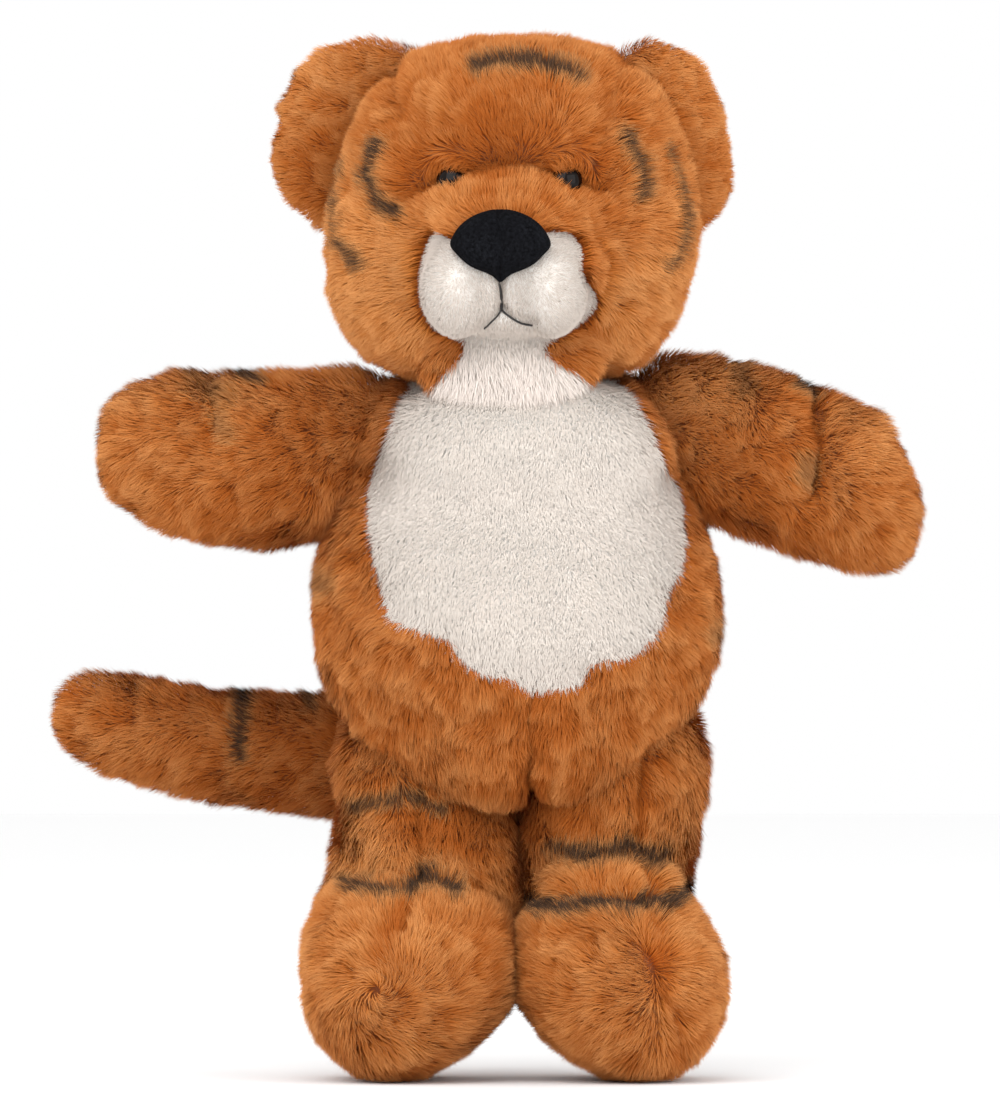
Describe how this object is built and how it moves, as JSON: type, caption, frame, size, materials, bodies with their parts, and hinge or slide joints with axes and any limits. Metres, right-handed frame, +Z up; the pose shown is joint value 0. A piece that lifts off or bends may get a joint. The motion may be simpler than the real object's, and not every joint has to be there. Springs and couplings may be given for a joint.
{
  "type": "plush tiger",
  "caption": "Standing stuffed tiger in sewn pile fabric, with springy neck, arms, legs, ears and a tail that wags.",
  "frame": {"origin": "on the surface that the toy stands on, under the middle of its box", "axes": "+Z up, -Y the way the toy faces, +X to the right as the toy is seen from the front"},
  "size_m": [0.2944, 0.158, 0.349],
  "materials": {
    "orange_fur": "matte",
    "white_fur": "matte",
    "filling": "matte",
    "black_plush": "matte",
    "thread": "satin",
    "eye_plastic": "gloss",
    "washer_plastic": "matte"
  },
  "bodies": {
    "body": {"body_front_left": "orange_fur", "body_front_right": "orange_fur", "body_back_left": "orange_fur", "body_back_right": "orange_fur", "belly_panel": "white_fur", "body_filling": "filling"},
    "neck": {"neck_filling": "filling"},
    "head": {"head_side_left": "orange_fur", "head_side_right": "orange_fur", "head_gusset": "orange_fur", "muzzle_skin": "white_fur", "head_filling": "filling", "nose": "black_plush", "mouth_stitch": "thread", "eye_left": "eye_plastic", "eye_right": "eye_plastic", "eye_washer_left": "washer_plastic", "eye_washer_right": "washer_plastic"},
    "ear_left": {"ear_front_left": "orange_fur", "ear_back_left": "orange_fur"},
    "ear_right": {"ear_front_right": "orange_fur", "ear_back_right": "orange_fur"},
    "arm_left": {"arm_front_left": "orange_fur", "arm_back_left": "orange_fur", "arm_filling_left": "filling"},
    "arm_right": {"arm_front_right": "orange_fur", "arm_back_right": "orange_fur", "arm_filling_right": "filling"},
    "leg_left": {"leg_outer_left": "orange_fur", "leg_inner_left": "orange_fur", "leg_filling_left": "filling"},
    "leg_right": {"leg_outer_right": "orange_fur", "leg_inner_right": "orange_fur", "leg_filling_right": "filling"},
    "tail": {"tail_skin": "orange_fur", "tail_filling": "filling"}
  },
  "joints": [
    {"name": "neck_nod", "type": "hinge", "parent": "body", "child": "neck", "pos_m": [0.00918, -0.00218, 0.234], "axis": [1, 0, 0], "range_deg": [-12, 16], "stiffness_Nm_per_rad": 1.2},
    {"name": "head_turn", "type": "hinge", "parent": "neck", "child": "head", "pos_m": [0.00918, -0.00218, 0.234], "axis": [0, 0, 1], "range_deg": [-35, 35], "stiffness_Nm_per_rad": 0.3},
    {"name": "ear_fold_left", "type": "hinge", "parent": "head", "child": "ear_left", "pos_m": [-0.04085, -0.00121, 0.3135], "axis": [0.406, -0.0241, 0.9135], "range_deg": [-20, 20], "stiffness_Nm_per_rad": 0.05},
    {"name": "ear_fold_right", "type": "hinge", "parent": "head", "child": "ear_right", "pos_m": [0.05897, -0.00715, 0.3135], "axis": [-0.406, 0.0241, 0.9135], "range_deg": [-20, 20], "stiffness_Nm_per_rad": 0.05},
    {"name": "arm_raise_left", "type": "hinge", "parent": "body", "child": "arm_left", "pos_m": [-0.04282, -0.00418, 0.211], "axis": [0, 1, 0], "range_deg": [-31, 19], "stiffness_Nm_per_rad": 0.8},
    {"name": "arm_raise_right", "type": "hinge", "parent": "body", "child": "arm_right", "pos_m": [0.06118, -0.00418, 0.211], "axis": [0, -1, 0], "range_deg": [-20, 30], "stiffness_Nm_per_rad": 0.8},
    {"name": "leg_swing_left", "type": "hinge", "parent": "body", "child": "leg_left", "pos_m": [-0.02382, -0.00818, 0.096], "axis": [1, 0, 0], "range_deg": [-26, 12], "stiffness_Nm_per_rad": 2},
    {"name": "leg_swing_right", "type": "hinge", "parent": "body", "child": "leg_right", "pos_m": [0.04218, -0.00818, 0.096], "axis": [1, 0, 0], "range_deg": [-26, 12], "stiffness_Nm_per_rad": 2},
    {"name": "tail_wag", "type": "hinge", "parent": "body", "child": "tail", "pos_m": [0.00918, 0.03782, 0.107], "axis": [0, 0, 1], "range_deg": [-140, 0], "stiffness_Nm_per_rad": 0.1}
  ]
}
